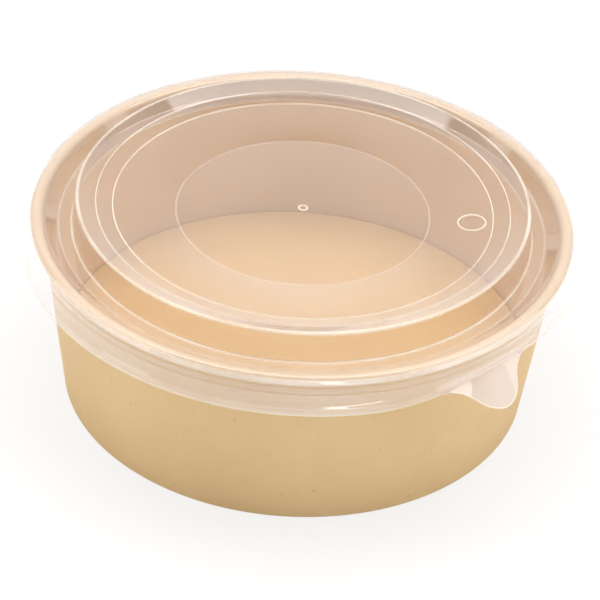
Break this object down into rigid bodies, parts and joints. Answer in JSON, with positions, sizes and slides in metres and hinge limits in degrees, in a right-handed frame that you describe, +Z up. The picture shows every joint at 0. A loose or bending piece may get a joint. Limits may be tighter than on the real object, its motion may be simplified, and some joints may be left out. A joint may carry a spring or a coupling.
{
  "type": "kraft salad bowl",
  "caption": "Round kraft paper salad bowl with a folded foot, a rolled rim and a clear press-on dome lid with a pull tab.",
  "frame": {"origin": "centre of the foot ring, on the surface that the bowl stands on", "axes": "+Z up along the round axis of bowl and lid; the pull tab points to the front right, between +X and -Y, at azimuth 311.7 degrees from +X; the glued lap seam is at the back, at azimuth 98 degrees"},
  "size_m": [0.1904, 0.1904, 0.0742],
  "materials": {
    "kraft_board": "matte, warm brown kraft with fine fibres, thin clear coating inside",
    "kraft_board_inside": "satin, kraft board with a thin clear coating",
    "clear_lid": "glossy clear polypropylene, slightly milky"
  },
  "bodies": {
    "bowl": {"side_wall": "kraft_board", "base_disc": "kraft_board_inside"},
    "lid": {"lid": "clear_lid"}
  },
  "joints": [
    {"name": "lid_lift", "type": "slide", "parent": "bowl", "child": "lid", "axis": [0, 0, 1], "range_m": [0, 0.06]}
  ]
}
